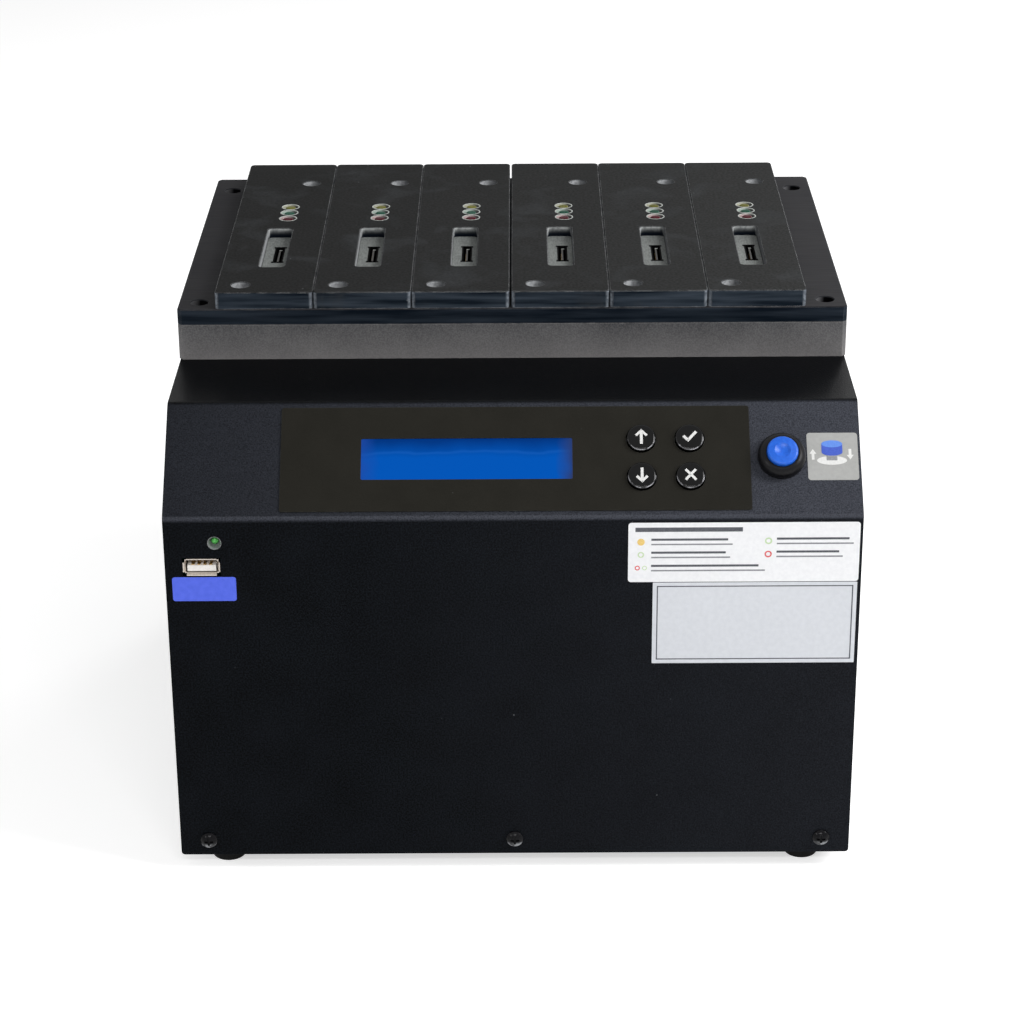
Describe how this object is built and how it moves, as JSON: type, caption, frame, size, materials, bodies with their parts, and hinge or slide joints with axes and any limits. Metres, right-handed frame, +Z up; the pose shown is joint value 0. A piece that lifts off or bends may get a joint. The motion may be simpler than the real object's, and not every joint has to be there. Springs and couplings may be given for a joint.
{
  "type": "hard drive duplicator",
  "caption": "Bench-top disk duplicator: black folded case, sloped panel with display, keys and push button, and a raised deck of plug-in ports with lamps.",
  "frame": {"origin": "on the table, under the middle of the case", "axes": "+X to the operator's right, +Y to the back, +Z up; the front faces -Y"},
  "size_m": [0.271, 0.2808, 0.2177],
  "materials": {
    "black_sheet": "black powder coat, fine texture",
    "deck_grey": "bead-blasted dark grey anodised",
    "deck_black": "black anodised, machined edges",
    "liner_grey": "bare milled",
    "connector_black": "moulded",
    "sleeve_white": "translucent moulded",
    "lens_yellow": "tinted lens",
    "lens_green": "tinted lens",
    "lens_red": "tinted lens",
    "screw_steel": "bright zinc",
    "screw_black": "black oxide",
    "foot_rubber": "moulded rubber",
    "overlay_film": "printed film, satin",
    "display_blue": "backlit display behind a clear pane",
    "board_green": "solder mask",
    "key_black": "gloss domed keys",
    "button_blue": "satin moulded",
    "bezel_black": "satin moulded",
    "usb_steel": "nickel plated",
    "usb_plastic": "moulded",
    "contact_gold": "gold flashed",
    "pin_nickel": "nickel plated",
    "rocker_black": "moulded",
    "ribbon_grey": "flat cable",
    "bare_aluminium": "mill finish"
  },
  "bodies": {
    "case": {"backplane_board": "board_green", "block_screws": "screw_steel", "board_standoffs": "screw_steel", "button_bezel": "bezel_black", "button_nut": "screw_steel", "chassis_tub": "black_sheet", "control_overlay": "overlay_film", "cover_screws": "screw_black", "data_ribbon": "ribbon_grey", "deck_frame": "deck_grey", "deck_plate": "deck_black", "deck_screws": "screw_black", "fan_frame": "bezel_black", "fan_guard": "black_sheet", "fan_screws": "screw_black", "foot_front_left": "foot_rubber", "foot_front_right": "foot_rubber", "foot_rear_left": "foot_rubber", "foot_rear_right": "foot_rubber", "foot_screws": "screw_black", "front_io_board": "board_green", "green_leds": "lens_green", "heat_sink": "bare_aluminium", "inlet_pins": "pin_nickel", "key_board": "board_green", "key_switches": "bezel_black", "lcd_glass": "display_blue", "lcd_module": "board_green", "led_holder": "sleeve_white", "led_sleeves": "sleeve_white", "main_board": "board_green", "mains_inlet": "bezel_black", "port_block_1": "deck_black", "port_block_2": "deck_black", "port_block_3": "deck_black", "port_block_4": "deck_black", "port_block_5": "deck_black", "port_block_6": "deck_black", "port_connector_1": "connector_black", "port_connector_2": "connector_black", "port_connector_3": "connector_black", "port_connector_4": "connector_black", "port_connector_5": "connector_black", "port_connector_6": "connector_black", "power_supply": "bare_aluminium", "red_leds": "lens_red", "slot_liners": "liner_grey", "status_led": "lens_green", "usb_contacts": "contact_gold", "usb_shell": "usb_steel", "usb_tongue": "usb_plastic", "wrap_cover": "black_sheet", "yellow_leds": "lens_yellow"},
    "key_up": {"key_up": "key_black"},
    "key_ok": {"key_ok": "key_black"},
    "key_down": {"key_down": "key_black"},
    "key_cancel": {"key_cancel": "key_black"},
    "push_button": {"button_cap": "button_blue"},
    "rocker": {"power_rocker": "rocker_black"},
    "fan": {"fan_rotor": "bezel_black"}
  },
  "joints": [
    {"name": "key_up_press", "type": "slide", "parent": "case", "child": "key_up", "axis": [0, 0.6835, -0.73], "range_m": [0, 0.0008], "stiffness_N_per_m": 1000},
    {"name": "key_ok_press", "type": "slide", "parent": "case", "child": "key_ok", "axis": [0, 0.6835, -0.73], "range_m": [0, 0.0008], "stiffness_N_per_m": 1000},
    {"name": "key_down_press", "type": "slide", "parent": "case", "child": "key_down", "axis": [0, 0.6835, -0.73], "range_m": [0, 0.0008], "stiffness_N_per_m": 1000},
    {"name": "key_cancel_press", "type": "slide", "parent": "case", "child": "key_cancel", "axis": [0, 0.6835, -0.73], "range_m": [0, 0.0008], "stiffness_N_per_m": 1000},
    {"name": "button_press", "type": "slide", "parent": "case", "child": "push_button", "axis": [0, 0.6835, -0.73], "range_m": [0, 0.003], "stiffness_N_per_m": 600},
    {"name": "rocker_tip", "type": "hinge", "parent": "case", "child": "rocker", "pos_m": [0.0615, 0.1363, 0.081], "axis": [-1, 0, 0], "range_deg": [0, 18]},
    {"name": "fan_spin", "type": "hinge", "parent": "case", "child": "fan", "pos_m": [-0.062, 0.1354, 0.107], "axis": [0, 1, 0], "continuous": true}
  ]
}
